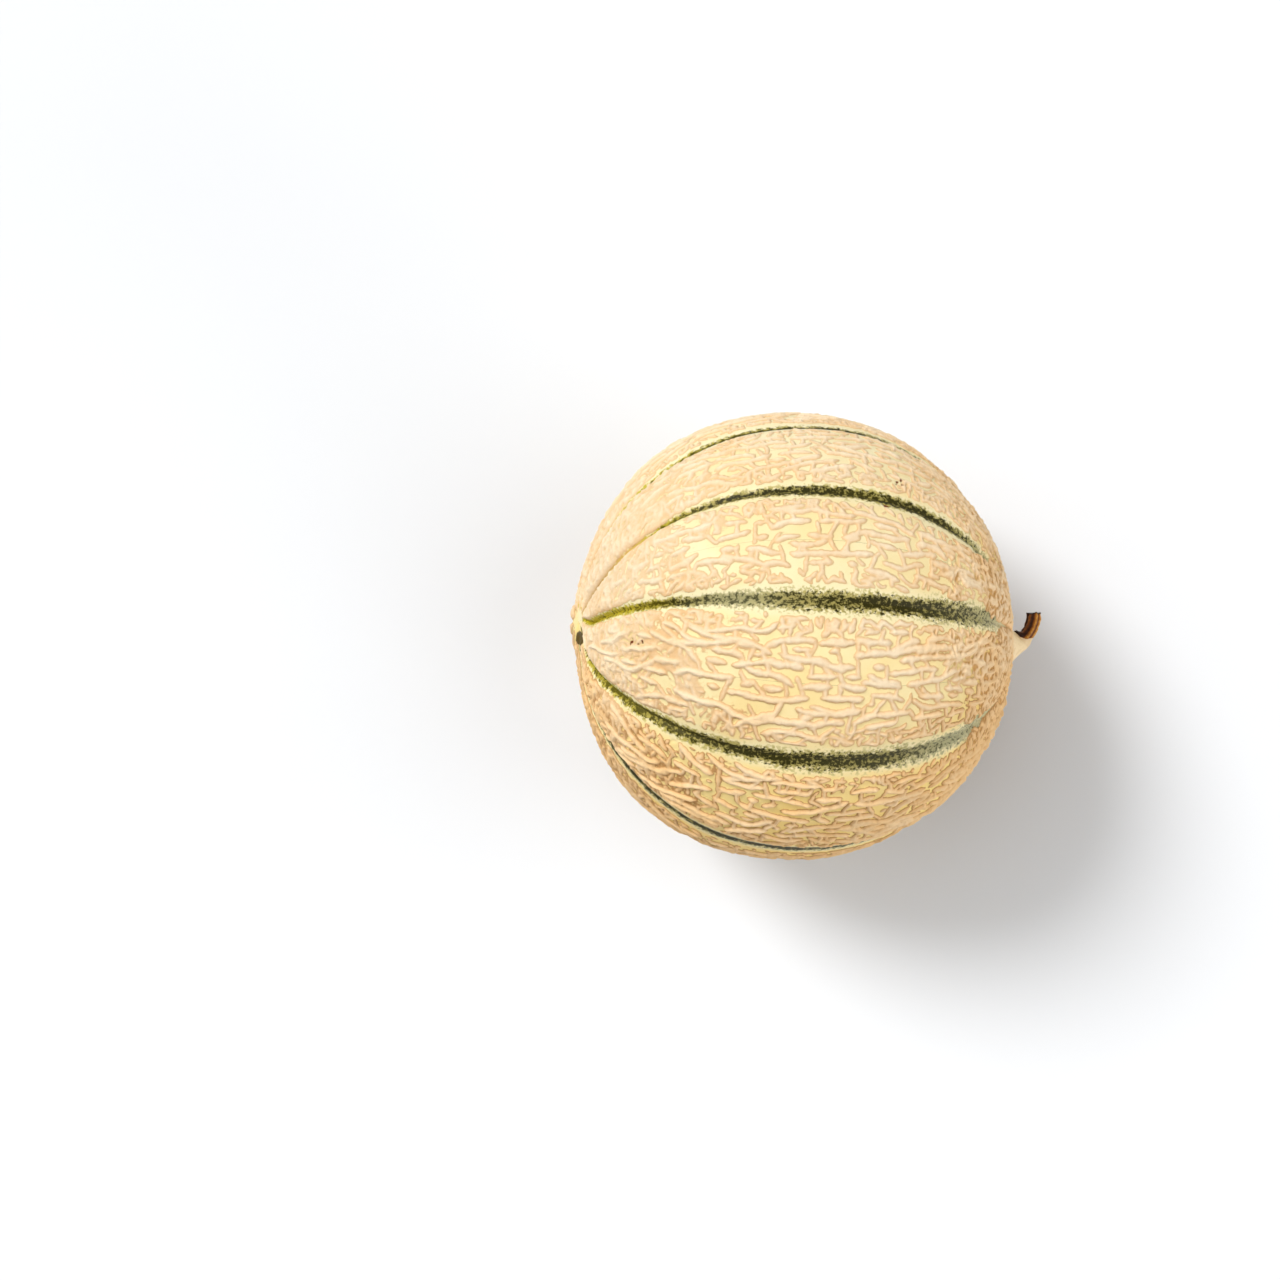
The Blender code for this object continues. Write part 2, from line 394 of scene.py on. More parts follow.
rind = {
    "columnSize": 0.36,         # distance between two columns of points at the widest place
    "mostColumns": 143,         # in one rib
    "rowSize": [0.36, 0.40, 0.40, 0.25, 0.25, 0.40],
    "rowPlaces": [0.00, 0.20, 0.60, 0.74, 1.02, 1.12],
    "crowdColumns": 0.25,       # brings columns closer at the furrows
    "wallShort": 15.0,          # the walls' inner edge stops this far from the blossom end
    # the flat map that the skin is baked on: start and span of its rows, of the outside's
    # columns and of each wall's narrow strip, and the distance between the two strips
    "mapRows": (0.004, 0.992),
    "mapOutside": (0.06, 0.936),
    "mapWall": (-0.024, 0.018),
    "mapWallStep": 0.028,
    # green band along each furrow: place (blossom end 0, neck 1), half width, how dark, tint
    # (-1 yellow, 0 green, 1 grey)
    "bands": [
        [(0.03, 0.8, 0.4, -1.0), (0.10, 1.3, 0.35, -1.0), (0.16, 1.5, 0.35, -1.0),
         (0.22, 1.5, 0.5, -0.9), (0.27, 1.5, 0.75, -0.6), (0.31, 1.6, 0.75, 0.0),
         (0.36, 1.9, 0.62, 0.55), (0.40, 2.5, 0.52, 0.65),
         (0.43, 2.8, 0.5, 0.5), (0.48, 3.4, 0.6, 0.1), (0.54, 3.5, 0.7, 0.0), (0.60, 3.2, 0.95, 0.0),
         (0.65, 3.1, 1.0, 0.0), (0.70, 3.9, 0.85, 0.1), (0.76, 3.8, 0.65, 0.3), (0.82, 3.3, 0.40, 0.6),
         (0.88, 2.4, 0.12, 0.9), (0.93, 1.2, 0.0, 1.0)],
        [(0.02, 0.9, 0.0, -1.0), (0.20, 0.9, 0.0, -1.0), (0.27, 0.6, 0.3, -0.9), (0.29, 0.8, 0.6, -0.8),
         (0.32, 1.1, 0.7, -0.5), (0.36, 1.4, 0.7, -0.1), (0.41, 1.9, 0.7, 0.0), (0.47, 2.1, 0.85, 0.0),
         (0.54, 2.2, 0.9, 0.0), (0.60, 2.6, 0.8, -0.1), (0.66, 2.6, 0.9, 0.0), (0.72, 2.5, 0.9, 0.0),
         (0.76, 2.2, 0.75, 0.1), (0.80, 1.9, 0.5, 0.3), (0.85, 1.6, 0.3, 0.5), (0.90, 1.3, 0.1, 0.8),
         (0.96, 1.0, 0.0, 1.0)],
        [(0.02, 1.0, 0.0, -1.0), (0.26, 1.2, 0.3, -0.9), (0.36, 1.6, 0.8, -0.5), (0.50, 1.9, 0.9, -0.1),
         (0.64, 2.0, 0.9, 0.0), (0.74, 1.7, 0.5, 0.3), (0.86, 1.0, 0.0, 0.8), (1.0, 0.5, 0.0, 1.0)],
        [(0.05, 0.6, 0.2, -0.9), (0.20, 0.9, 0.6, -0.5), (0.40, 2.3, 0.8, 0.0), (0.65, 2.9, 0.85, 0.1),
         (0.82, 2.2, 0.4, 0.8), (0.92, 1.5, 0.05, 1.0), (1.0, 0.8, 0.0, 1.0)],
        [(0.05, 0.5, 0.2, -0.9), (0.25, 1.1, 0.7, -0.3), (0.45, 3.0, 0.6, 0.3), (0.62, 3.6, 0.9, 0.0),
         (0.80, 3.0, 0.5, 0.7), (0.92, 1.8, 0.05, 1.0), (1.0, 0.8, 0.0, 1.0)],
        [(0.05, 0.5, 0.1, -1.0), (0.30, 0.8, 0.5, -0.5), (0.50, 1.6, 0.8, 0.0), (0.70, 1.8, 0.8, 0.1),
         (0.85, 1.3, 0.3, 0.8), (1.0, 0.7, 0.0, 1.0)],
        [(0.05, 0.6, 0.3, -0.8), (0.22, 1.3, 0.6, -0.4), (0.42, 2.8, 0.7, 0.1), (0.60, 3.4, 0.9, 0.0),
         (0.78, 3.1, 0.6, 0.6), (0.92, 2.0, 0.05, 1.0), (1.0, 0.8, 0.0, 1.0)],
        [(0.05, 0.5, 0.2, -0.9), (0.28, 0.9, 0.6, -0.3), (0.50, 2.2, 0.8, 0.0), (0.72, 2.4, 0.8, 0.1),
         (0.85, 1.8, 0.4, 0.7), (1.0, 0.8, 0.0, 1.0)],
        [(0.03, 1.5, 0.9, -0.2), (0.12, 2.0, 0.95, 0.0), (0.22, 2.2, 1.0, 0.15), (0.36, 2.2, 1.0, 0.2),
         (0.50, 2.5, 1.0, 0.3), (0.60, 2.3, 0.9, 0.5), (0.68, 1.8, 0.5, 0.8), (0.78, 1.1, 0.0, 1.0),
         (1.0, 0.5, 0.0, 1.0)],
        [(0.03, 1.2, 0.7, -0.6), (0.10, 1.6, 0.7, -0.75), (0.16, 1.9, 0.7, -0.7),
         (0.22, 2.2, 0.8, -0.55), (0.28, 2.5, 0.9, -0.35), (0.36, 2.8, 0.85, -0.1),
         (0.42, 3.0, 0.85, 0.0), (0.48, 3.5, 0.85, 0.0),
         (0.54, 3.9, 0.85, 0.1), (0.60, 4.0, 0.85, 0.15), (0.64, 4.1, 0.75, 0.2), (0.70, 3.8, 0.5, 0.6),
         (0.76, 3.7, 0.35, 0.9), (0.82, 3.0, 0.2, 1.0), (0.88, 2.3, 0.05, 1.0), (0.95, 1.3, 0.0, 1.0)],
    ],
    "haloWidth": 2.8,
    # more bare skin beside each furrow
    "margins": [0.0, 0.0, 0.3, 0.0, 0.0, 0.0, 0.0, 0.0, 0.8, 0.2],
    "ground": (0.76, 0.675, 0.43),
    "groundWarm": (0.75, 0.62, 0.335),
    "halo": (0.74, 0.68, 0.44),
    "dark": (0.026, 0.022, 0.002),
    "darkYellow": (0.13, 0.105, 0.002),
    "darkGrey": (0.10, 0.095, 0.045),
    "veil": (0.39, 0.325, 0.095),
    "veilDeep": (0.13, 0.105, 0.014),
    "veilDeepYellow": (0.27, 0.215, 0.003),
    "veilYellow": (0.46, 0.37, 0.008),
    "veilGolden": (0.58, 0.36, 0.07),
    "veilGrey": (0.35, 0.335, 0.19),
    "speck": (0.74, 0.56, 0.24),
    "neck": (0.84, 0.65, 0.385),
    "neckStreak": (0.70, 0.49, 0.24),
    "rim": (0.20, 0.055, 0.015),
    # cork by height: the brown foot is partly painted shade, the pale crest partly painted highlight
    "corkFootAndShade": (0.69, 0.46, 0.23),
    "corkSide": (0.75, 0.54, 0.31),
    "corkTop": (0.79, 0.615, 0.40),
    "corkCrestAndHighlight": (0.84, 0.70, 0.50),
    "grit": (0.66, 0.40, 0.17),
    # tints for the tanned ribs' cork and bare skin: partly their own tone, partly painted shade on the
    # ribs that face down, away from the light
    "tanAndShade": (1.0, 0.80, 0.55),         # multiplies the cork of the tanned ribs
    "goldenShade": (1.14, 0.95, 0.50),     # and their bare skin
    # how tan the cork of each rib is: more on the ribs that face down, away from the light, partly as
    # painted shade
    "tanAndShadeRibs": [0.15, 0.1, 0.2, 0.4, 0.5, 0.6, 0.7, 1.0, 0.8, 0.3],
    # dark brown low between the ridges of the tanned ribs: partly the cork's own colour, partly painted
    # shade
    "creaseAndShade": (0.38, 0.175, 0.05),
    "slit": (0.56, 0.28, 0.085),
    "scab": (0.14, 0.030, 0.008),
    "scar": (0.10, 0.065, 0.015),
}


def bandAt(index, place, column):
    # One column of a furrow's band table, blended along the melon.
    stops = rind["bands"][index % furrowCount]
    return np.interp(place, [stop[0] for stop in stops], [stop[column] for stop in stops])


netting = {
    "seed": 41,
    "cell": 0.28,            # distance between two points of a rib's height map
    "step": 0.45,            # distance between two points of a growing ridge
    "start": 2.2,            # from the blossom scar
    "turnKept": 0.8,         # share of a turn that a growing ridge keeps at its next step
    "homing": 0.10,          # how strongly it returns to its first heading
    # The kinds of ridge: tries for each square millimetre, how far it grows both ways, size and
    # how much that varies, wander at each step, tapered length, share that keeps its distance.
    "main": {
        "tries": 0.5, "reach": (3.5, 14.0), "halfWidth": 0.92, "widths": (0.75, 1.15),
        "height": 0.86, "heights": (0.8, 1.15), "wander": 0.036, "taper": 2.2, "alone": 0.90,
    },
    "knot": {
        "tries": 1.2, "reach": (1.4, 3.6), "halfWidth": 0.56, "widths": (0.75, 1.2),
        "height": 0.60, "heights": (0.75, 1.25), "wander": 0.10, "taper": 1.6, "alone": 0.55,
    },
    "link": {
        "tries": 0.55, "halfWidth": 0.60, "widths": (0.75, 1.2),
        "height": 0.60, "heights": (0.7, 1.15), "wander": 0.06, "taper": 1.5,
    },
    # The kinds of short crack in the cork: spread of the headings, length, half width, depth.
    "slitTries": 1.5,
    "slitStep": 0.3,
    "slitBend": 0.12,
    "stemSlit": {"spread": 0.28, "length": (1.2, 4.2), "halfWidth": (0.30, 0.50)},
    "blossomSlit": {
        "spread": 0.5, "length": (1.4, 4.6), "halfWidth": (0.28, 0.40), "deep": (0.18, 0.5),
    },
    "coverBlossom": 0.20,    # cork between the ridges near the blossom end
    "coverStem": 0.40,       # and near the stem
    "slitDepth": 0.60,
    # the zones at both ends and beside the furrows, as places along the melon and distances
    "zoneDrift": (0.10, 34),      # how raggedly the zones end, and the size of the raggedness
    "zoneDriftFine": (0.05, 9),
    "blossomZone": (0.17, 0.22),  # place where the zone starts to fade, and over how much
    "stemZone": (0.75, 0.14),
    "fineZone": (0.60, 0.15),     # from here to the stem the netting is finer
    "finerBy": 0.42,
    "flankReach": 5.0,
    "flankVary": (2.5, 40),
    "flankFade": 3.0,
    "bareShare": 0.85,            # share of a band that stays bare, and the skin beside it
    "bareHalo": (1.3, 0.8, 9),
    "bareMargin": 0.5,
    # per rib: distance between long ridges, how much their headings vary, how high they are
    "ribs": [
        (5.4, 0.09, 0.80), (4.4, 0.14, 0.85), (4.6, 0.14, 1.0), (4.9, 0.12, 1.0), (4.2, 0.20, 1.0),
        (5.0, 0.12, 1.0), (4.4, 0.20, 1.0), (4.8, 0.15, 1.0), (4.9, 0.27, 1.25), (5.2, 0.09, 1.05),
    ],
    # corky brown scabs: rib, place along it, share across it, size
    "scabs": [(9, 0.235, 0.66, 2.6), (0, 0.63, 0.93, 1.0), (1, 0.66, 0.24, 1.8), (5, 0.4, 0.4, 2.2)],
}


def cloud(draw, shape, size):
    # Smooth noise between -1 and 1 on a grid of points, with lumps of size points.
    coarse = draw.uniform(-1.0, 1.0, (int(shape[0] / size) + 4, int(shape[1] / size) + 4))

    def stretch(values, count):
        where = np.arange(count) / size + 1.0
        base = np.floor(where).astype(int)
        part = (where - base)[:, None]
        part = part * part * (3.0 - 2.0 * part)
        return values[base] * (1.0 - part) + values[base + 1] * part

    rows = stretch(coarse, shape[0])
    return stretch(rows.T, shape[1]).T


def soften(values, spread):
    # A small Gaussian blur.
    reach = int(3 * spread) + 1
    weights = np.exp(-0.5 * (np.arange(-reach, reach + 1) / spread) ** 2)
    weights /= weights.sum()
    result = values
    for axis in (0, 1):
        pad = [(0, 0), (0, 0)]
        pad[axis] = (reach, reach)
        padded = np.pad(result, pad, mode="edge")
        total = np.zeros_like(values)
        for offset, weight in enumerate(weights):
            window = [slice(None), slice(None)]
            window[axis] = slice(offset, offset + values.shape[axis])
            total += weight * padded[tuple(window)]
        result = total
    return result


class Patch:
    # The height map of one rib: rows run along the fruit and columns run across the rib.
    def __init__(self, rib):
        cell = netting["cell"]
        self.rib = rib
        self.draw = np.random.default_rng(netting["seed"] + rib)
        self.baseSpacing, self.headingSpread, self.heightScale = netting["ribs"][rib]
        distance = np.arange(netting["start"], outline["neckStart"] + 6.0, cell)
        _, width = ribSpan(rib, distance)
        self.half = 0.5 * width * onOutline("radius", distance)
        self.distance = distance
        self.columns = 2 * int(self.half.max() / cell) + 3
        self.across = (np.arange(self.columns) - self.columns // 2) * cell
        self.rows = len(distance)
        self.shape = (self.rows, self.columns)
        self.edge = self.half[:, None] - np.abs(self.across[None, :])
        place = distance / skinLength
        self.place = place[:, None] + 0.0 * self.across[None, :]
        before = bandAt(rib, place, 1)[:, None]
        after = bandAt(rib + 1, place, 1)[:, None]
        band = np.where(self.across[None, :] < 0.0, before, after)
        self.touch = np.zeros(self.shape, dtype=np.int32)
        self.owner = np.zeros(self.shape, dtype=np.int32)
        self.linked = np.zeros(self.shape, dtype=bool)
        self.level = np.zeros(self.shape)
        self.carved = np.zeros(self.shape)
        self.scab = np.zeros(self.shape)
        self.number = 0
        drift = self.cloud("zoneDrift") + self.cloud("zoneDriftFine")
        blossomFrom, blossomOver = netting["blossomZone"]
        self.blossom = 1.0 - smooth((self.place + drift - blossomFrom) / blossomOver)
        stemFrom, stemOver = netting["stemZone"]
        self.stemEnd = smooth((self.place + 0.8 * drift - stemFrom) / stemOver)
        flankReach = netting["flankReach"] + self.cloud("flankVary")
        self.flank = 1.0 - smooth((self.edge - band - flankReach) / netting["flankFade"])
        self.middle = (1.0 - self.flank) * (1.0 - self.blossom) * (1.0 - self.stemEnd)
        halo = smooth((band - 0.8) / 1.4)
        haloBare, haloVary, haloSize = netting["bareHalo"]
        haloBare = haloBare + haloVary * cloud(self.draw, self.shape, haloSize)
        bare = netting["bareShare"] * band + halo * haloBare + netting["bareMargin"]
        margins = rind["margins"]
        bare = bare + np.where(self.across[None, :] < 0.0, margins[rib], margins[(rib + 1) % furrowCount])
        bare = bare * (1.0 - 0.85 * self.stemEnd) * (1.0 - 0.35 * self.blossom)
        self.inside = self.edge - bare        # positive where the netting may grow
        fineFrom, fineOver = netting["fineZone"]
        finer = np.maximum(self.flank, smooth((self.place + 0.4 * drift - fineFrom) / fineOver))
        self.spacing = self.baseSpacing * (1.0 - netting["finerBy"] * finer)

    def cloud(self, key):
        # Slow variation of the size and strength that the settings give.
        strength, size = netting[key]
        return strength * cloud(self.draw, self.shape, size)

    def index(self, along, across):
        row = int((along - netting["start"]) / netting["cell"] + 0.5)
        column = int(across / netting["cell"] + self.columns // 2 + 0.5)
        if 0 <= row < self.rows and 0 <= column < self.columns:
            return row, column
        return None

    def randomSpot(self):
        row = self.draw.integers(0, self.rows)
        column = self.draw.integers(0, self.columns)
        return row, column

    def window(self, along, across, reach):
        # The part of the map within reach of a spot, and the squared distance of its points.
        cell = netting["cell"]
        row = (along - netting["start"]) / cell
        column = across / cell + self.columns // 2
        cells = reach / cell
        rowLow = max(int(row - cells), 0)
        rowHigh = max(min(int(row + cells) + 2, self.rows), rowLow)
        columnLow = max(int(column - cells), 0)
        columnHigh = max(min(int(column + cells) + 2, self.columns), columnLow)
        rows = (np.arange(rowLow, rowHigh)[:, None] - row) * cell
        columns = (np.arange(columnLow, columnHigh)[None, :] - column) * cell
        return (slice(rowLow, rowHigh), slice(columnLow, columnHigh)), rows * rows + columns * columns

    def mark(self, grid, along, across, radius, value):
        part, away = self.window(along, across, radius)
        grid[part][away <= radius * radius] = value

    def dome(self, grid, along, across, halfWidth, height):
        part, away = self.window(along, across, halfWidth * 1.4)
        shape = height * (1.0 - (away / halfWidth ** 2) ** 1.5)
        np.maximum(grid[part], shape, out=grid[part])

    def walk(self, along, across, heading, reach, wander, keepAway):
        # Goes on until it meets another ridge, leaves the netting or has gone its reach.
        step = netting["step"]
        points = []
        turn = 0.0
        aim = heading
        for _ in range(int(reach / step)):
            turn = netting["turnKept"] * turn + self.draw.normal(0.0, wander)
            heading += turn - netting["homing"] * (heading - aim)
            along += math.cos(heading) * step
            across += math.sin(heading) * step
            spot = self.index(along, across)
            if spot is None or self.inside[spot] < 0.0:
                return points, False
            if keepAway and self.owner[spot] not in (0, self.number):
                return points, False
            points.append((along, across))
            if self.touch[spot] not in (0, self.number):
                return points, True
        return points, False

    def addRidge(self, kind, spot, heading, reach, halfWidth, height, keepAway=False, mustJoin=False):
        # Grows a ridge both ways from a spot. Its free ends taper.
        wander = kind["wander"]
        along = self.distance[spot[0]]
        across = self.across[spot[1]]
        self.number += 1
        ahead, joinedAhead = self.walk(along, across, heading, reach, wander, keepAway)
        behind, joinedBehind = self.walk(along, across, heading + math.pi, reach, wander, keepAway)
        points = behind[::-1] + [(along, across)] + ahead
        if len(points) < 4 or (mustJoin and not (joinedAhead or joinedBehind)):
            return False
        step = netting["step"]
        phase = self.draw.uniform(0.0, 6.3)
        gap = 0.5 * self.spacing[spot]
        for order, (pointAlong, pointAcross) in enumerate(points):
            fromStart = 99.0 if joinedBehind else (order + 0.6) * step
            toEnd = 99.0 if joinedAhead else (len(points) - order - 0.4) * step
            taper = smooth(min(fromStart, toEnd) / kind["taper"]) ** 0.6
            swell = 1.0 + 0.18 * math.sin(order * 0.42 + phase)
            swell = swell + 0.12 * math.sin(order * 1.3 + 2.0 * phase)
            halfHere = halfWidth * (0.25 + 0.75 * taper) * swell
            self.dome(self.level, pointAlong, pointAcross, halfHere, height * (0.35 + 0.65 * taper))
            self.mark(self.touch, pointAlong, pointAcross, 0.3, self.number)
            if keepAway:
                self.mark(self.owner, pointAlong, pointAcross, gap, self.number)
        return True


def growNetting(patch):
    draw = patch.draw
    area = float(np.sum(patch.inside > 0.0)) * netting["cell"] ** 2
    scale = patch.heightScale
    # long spindles that run along the rib
    kind = netting["main"]
    for _ in range(int(area * kind["tries"])):
        spot = patch.randomSpot()
        if patch.inside[spot] < 0.4 or patch.owner[spot] or draw.random() > patch.middle[spot]:
            continue
        heading = draw.normal(0.0, patch.headingSpread)
        reach = draw.uniform(*kind["reach"])
        halfWidth = kind["halfWidth"] * draw.uniform(*kind["widths"]) * (patch.baseSpacing / 4.7) ** 0.5
        height = kind["height"] * scale * draw.uniform(*kind["heights"])
        alone = draw.random() < kind["alone"]
        patch.addRidge(kind, spot, heading, reach, halfWidth, height, keepAway=alone)
    # short crooked ridges beside the furrows and towards both ends
    kind = netting["knot"]
    for _ in range(int(area * kind["tries"])):
        spot = patch.randomSpot()
        if patch.inside[spot] < 0.1 or patch.owner[spot] or draw.random() < patch.middle[spot] - 0.1:
            continue
        blossom = patch.blossom[spot]
        stemEnd = patch.stemEnd[spot]
        crosswise = draw.random() < 0.45 + 0.4 * blossom + 0.40 * stemEnd
        heading = (math.pi / 2 if crosswise else 0.0) + draw.normal(0.0, 0.42)
        reach = draw.uniform(*kind["reach"]) * (1.0 - 0.25 * stemEnd)
        halfWidth = kind["halfWidth"] * draw.uniform(*kind["widths"])
        halfWidth = halfWidth * (1.0 + 0.25 * blossom - 0.1 * stemEnd)
        height = kind["height"] * max(scale, 0.9) * draw.uniform(*kind["heights"])
        alone = draw.random() < kind["alone"]
        patch.addRidge(kind, spot, heading, reach, halfWidth, height, keepAway=alone)
    # links across to the next ridge
    kind = netting["link"]
    for _ in range(int(area * kind["tries"])):
        spot = patch.randomSpot()
        if patch.inside[spot] < 0.1 or patch.linked[spot] or patch.touch[spot]:
            continue
        if draw.random() < 0.62 * patch.middle[spot]:
            continue
        heading = math.pi / 2 + draw.normal(0.0, 0.50)
        if draw.random() < 0.4 * (1.0 - patch.middle[spot]):
            heading = draw.normal(0.0, 0.5)
        halfWidth = kind["halfWidth"] * draw.uniform(*kind["widths"])
        height = kind["height"] * scale * draw.uniform(*kind["heights"])
        height = height * (1.0 - 0.3 * patch.blossom[spot])
        reach = patch.spacing[spot] * 0.8
        if patch.addRidge(kind, spot, heading, reach, halfWidth, height, mustJoin=True):
            gap = patch.spacing[spot] * draw.uniform(0.45, 0.95)
            patch.mark(patch.linked, patch.distance[spot[0]], patch.across[spot[1]], gap, True)
    carveSlits(patch, area)
    finishLevel(patch)


def carveSlits(patch, area):
    # Short cracks, where cork covers the skin: deep across the rib near the stem, shallow and any
    # way near the blossom end. Then the corky scabs.
    draw = patch.draw
    taken = np.zeros(patch.shape, dtype=bool)
    for _ in range(int(area * netting["slitTries"])):
        spot = patch.randomSpot()
        blossom = 0.55 * patch.blossom[spot] * (patch.inside[spot] > 0.0)
        if taken[spot] or patch.edge[spot] < 0.3 or draw.random() > max(patch.stemEnd[spot], blossom):
            continue
        nearStem = patch.stemEnd[spot] > 0.1
        kind = netting["stemSlit"] if nearStem else netting["blossomSlit"]
        deep = 1.0 if nearStem else draw.uniform(*kind["deep"])
        if patch.distance[spot[0]] > outline["neckStart"] - 1.0:
            continue
        heading = math.pi / 2 + draw.normal(0.0, kind["spread"])
        length = draw.uniform(*kind["length"])
        halfWidth = draw.uniform(*kind["halfWidth"])
        bend = draw.normal(0.0, netting["slitBend"])
        along = patch.distance[spot[0]]
        across = patch.across[spot[1]]
        step = netting["slitStep"]
        count = int(length / step) + 2
        for order in range(count):
            share = 2.0 * order / (count - 1) - 1.0
            width = halfWidth * (1.0 - 0.75 * share * share)
            patch.dome(patch.carved, along, across, width * 1.3, deep * (1.0 - 0.4 * share * share))
            patch.mark(taken, along, across, 0.72, True)
            heading += bend
            along += math.cos(heading) * step
            across += math.sin(heading) * step
    for rib, place, share, size in netting["scabs"]:
        if rib != patch.rib:
            continue
        middle = place * skinLength
        aside = (share - 0.5) * 2.0 * np.interp(middle, patch.distance, patch.half)
        for _ in range(int(5 + 3 * size)):
            along = middle + draw.normal(0.0, 0.60 * size)
            across = aside + draw.normal(0.0, 0.50 * size)
            heading = draw.uniform(0.0, math.pi)
            strength = draw.uniform(0.35, 1.0)
            for order in range(int(draw.uniform(1, 5))):
                patch.dome(patch.carved, along, across, 0.36, 0.9)
                patch.dome(patch.scab, along, across, 0.42, strength)
                along += math.cos(heading) * 0.28
                across += math.sin(heading) * 0.28


def finishLevel(patch):
    # Adds the cork between the ridges, crumbles it, cuts the cracks in and fades both ends out.
    draw = patch.draw
    shape = patch.shape
    ripple = 0.5 + 0.5 * cloud(draw, shape, 4)
    coverBlossom = patch.blossom * (netting["coverBlossom"] + 0.07 * ripple)
    coverStem = patch.stemEnd * (netting["coverStem"] + 0.08 * cloud(draw, shape, 7))
    cover = np.maximum(coverBlossom, coverStem)
    level = np.maximum(patch.level, cover)
    level = level + 0.25 * cover * (patch.level > cover)
    level = soften(level, 0.6)
    rough = 0.5 * cloud(draw, shape, 2.6) + 0.5 * cloud(draw, shape, 4.5)
    level = level * (1.0 + 0.14 * cloud(draw, shape, 6)) + 0.22 * rough * smooth(level / 0.25)
    border = smooth((patch.inside + 0.5) / 1.2)
    level = level * border
    carved = soften(np.maximum(patch.carved, 0.0), 0.6)
    patch.level = level - netting["slitDepth"] * carved * smooth(patch.edge / 0.8)
    neckFade = smooth((patch.distance - outline["neckStart"] + 0.5) / 5.0)[:, None]
    startFade = smooth((patch.distance - netting["start"]) / 3.5)[:, None]
    patch.level = patch.level * (1.0 - neckFade) * startFade
    patch.closed = np.maximum(0.52 * patch.blossom, patch.stemEnd) * border
    patch.scab = soften(patch.scab, 0.6)


def sample(patch, grid, distance, across):
    # Reads a height map between its points.
    row = np.clip((distance - netting["start"]) / netting["cell"], 0.0, patch.rows - 1.001)
    column = np.clip(across / netting["cell"] + patch.columns // 2, 0.0, patch.columns - 1.001)
    rowBase = row.astype(int)
    columnBase = column.astype(int)
    rowPart = row - rowBase
    columnPart = column - columnBase
    first = grid[rowBase, columnBase] * (1.0 - columnPart) + grid[rowBase, columnBase + 1] * columnPart
    rowNext = rowBase + 1
    second = grid[rowNext, columnBase] * (1.0 - columnPart) + grid[rowNext, columnBase + 1] * columnPart
    return first * (1.0 - rowPart) + second * rowPart


def rowDistances():
    # Rows of points stand closer where the netting is finest.
    fine = np.linspace(0.0, fullLength, 4000)
    density = 1.0 / np.interp(fine / skinLength, rind["rowPlaces"], rind["rowSize"])
    count = np.concatenate([[0.0], np.cumsum(0.5 * (density[1:] + density[:-1]) * np.diff(fine))])
    return np.interp(np.linspace(0.0, count[-1], int(count[-1]) + 1), count, fine)


rowAt = rowDistances()


